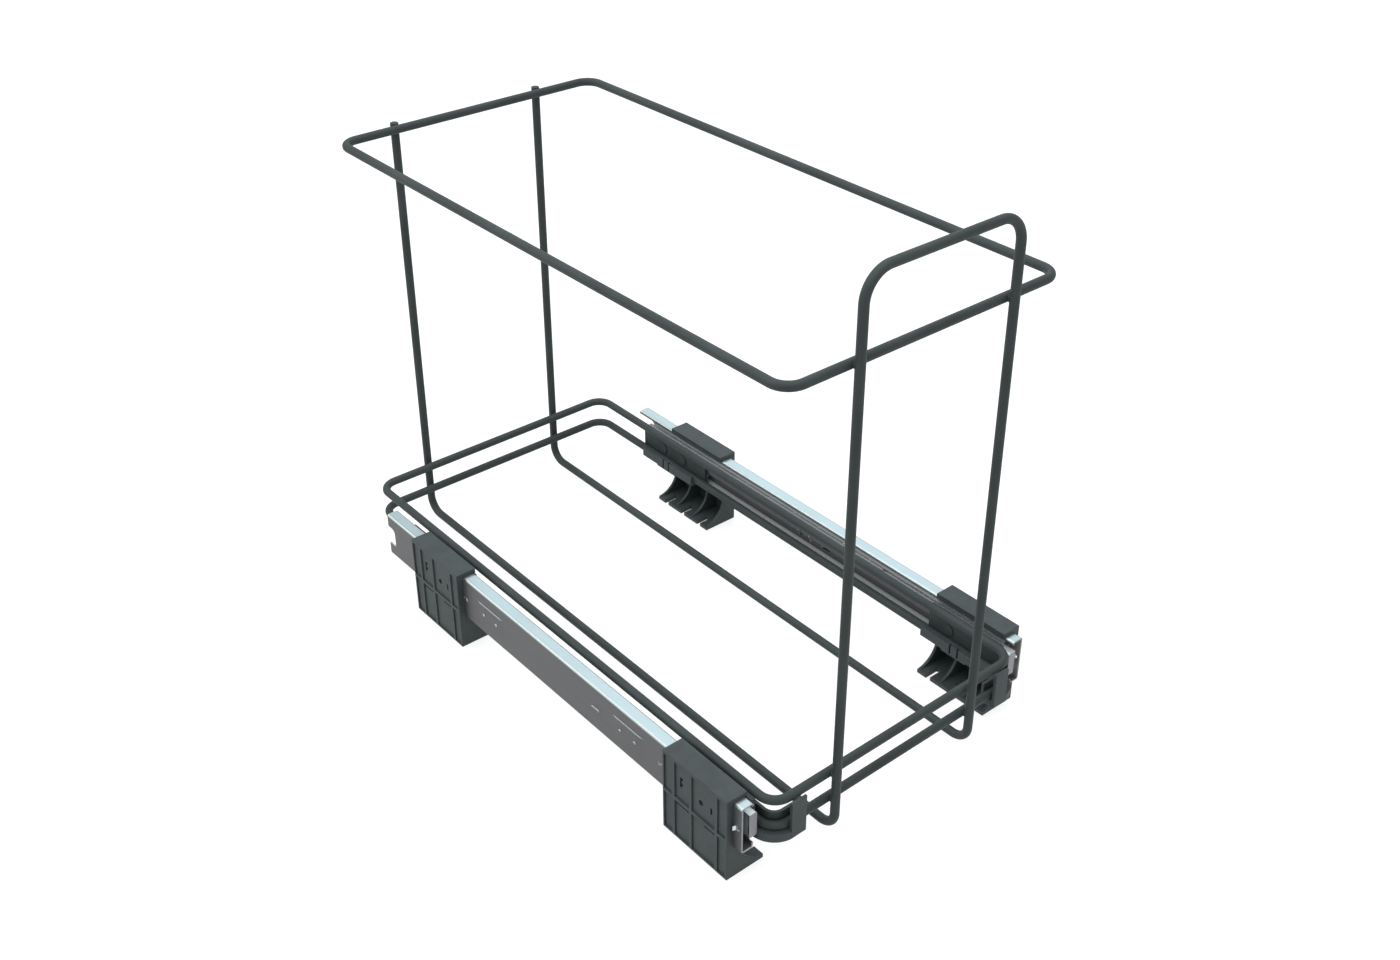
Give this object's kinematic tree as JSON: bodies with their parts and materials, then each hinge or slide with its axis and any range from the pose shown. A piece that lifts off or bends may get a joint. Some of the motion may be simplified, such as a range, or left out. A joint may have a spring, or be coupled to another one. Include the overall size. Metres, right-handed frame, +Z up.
{
  "type": "pull out bin frame",
  "caption": "Wire basket frame for a waste bin, with a raised handle, that rolls out of a cabinet on full extension ball slides.",
  "frame": {"origin": "on the cabinet floor, at the middle of the frame's width and length", "axes": "+Z up, the basket pulls out along -Y, +X to the right as seen from the handle"},
  "size_m": [0.259, 0.466, 0.39],
  "materials": {
    "coated_wire": "satin powder coat",
    "grey_plastic": "fine moulded grain",
    "zinc_steel": "bright zinc plate",
    "ball_steel": "polished",
    "stop_plastic": "plain moulded"
  },
  "bodies": {
    "cabinet_side": {"left_outer_rail": "zinc_steel", "right_outer_rail": "zinc_steel", "left_front_bracket": "grey_plastic", "left_rear_bracket": "grey_plastic", "right_front_bracket": "grey_plastic", "right_rear_bracket": "grey_plastic"},
    "basket": {"handle_wire": "coated_wire", "top_rim": "coated_wire", "upper_ring": "coated_wire", "lower_ring": "coated_wire", "weld_beads": "coated_wire", "left_inner_rail": "zinc_steel", "right_inner_rail": "zinc_steel", "left_inner_stop": "stop_plastic", "right_inner_stop": "stop_plastic", "left_front_carrier": "grey_plastic", "left_rear_carrier": "grey_plastic", "right_front_carrier": "grey_plastic", "right_rear_carrier": "grey_plastic", "carrier_pins": "grey_plastic"},
    "left_middle": {"left_middle_rail": "zinc_steel"},
    "left_outer_bearing": {"left_outer_cage": "zinc_steel", "left_outer_balls": "ball_steel"},
    "left_inner_bearing": {"left_inner_cage": "zinc_steel", "left_inner_balls": "ball_steel"},
    "right_middle": {"right_middle_rail": "zinc_steel"},
    "right_outer_bearing": {"right_outer_cage": "zinc_steel", "right_outer_balls": "ball_steel"},
    "right_inner_bearing": {"right_inner_cage": "zinc_steel", "right_inner_balls": "ball_steel"}
  },
  "joints": [
    {"name": "basket_slide", "type": "slide", "parent": "cabinet_side", "child": "basket", "axis": [0, -1, 0], "range_m": [0, 0.4]},
    {"name": "left_middle_slide", "type": "slide", "parent": "cabinet_side", "child": "left_middle", "axis": [0, -1, 0], "range_m": [0, 0.2]},
    {"name": "left_outer_bearing_slide", "type": "slide", "parent": "cabinet_side", "child": "left_outer_bearing", "axis": [0, -1, 0], "range_m": [0, 0.1]},
    {"name": "left_inner_bearing_slide", "type": "slide", "parent": "cabinet_side", "child": "left_inner_bearing", "axis": [0, -1, 0], "range_m": [0, 0.3]},
    {"name": "right_middle_slide", "type": "slide", "parent": "cabinet_side", "child": "right_middle", "axis": [0, -1, 0], "range_m": [0, 0.2]},
    {"name": "right_outer_bearing_slide", "type": "slide", "parent": "cabinet_side", "child": "right_outer_bearing", "axis": [0, -1, 0], "range_m": [0, 0.1]},
    {"name": "right_inner_bearing_slide", "type": "slide", "parent": "cabinet_side", "child": "right_inner_bearing", "axis": [0, -1, 0], "range_m": [0, 0.3]}
  ],
  "couplings": [
    {"joint": "left_middle_slide", "follows": "basket_slide", "ratio": 0.5},
    {"joint": "left_outer_bearing_slide", "follows": "basket_slide", "ratio": 0.25},
    {"joint": "left_inner_bearing_slide", "follows": "basket_slide", "ratio": 0.75},
    {"joint": "right_middle_slide", "follows": "basket_slide", "ratio": 0.5},
    {"joint": "right_outer_bearing_slide", "follows": "basket_slide", "ratio": 0.25},
    {"joint": "right_inner_bearing_slide", "follows": "basket_slide", "ratio": 0.75}
  ]
}
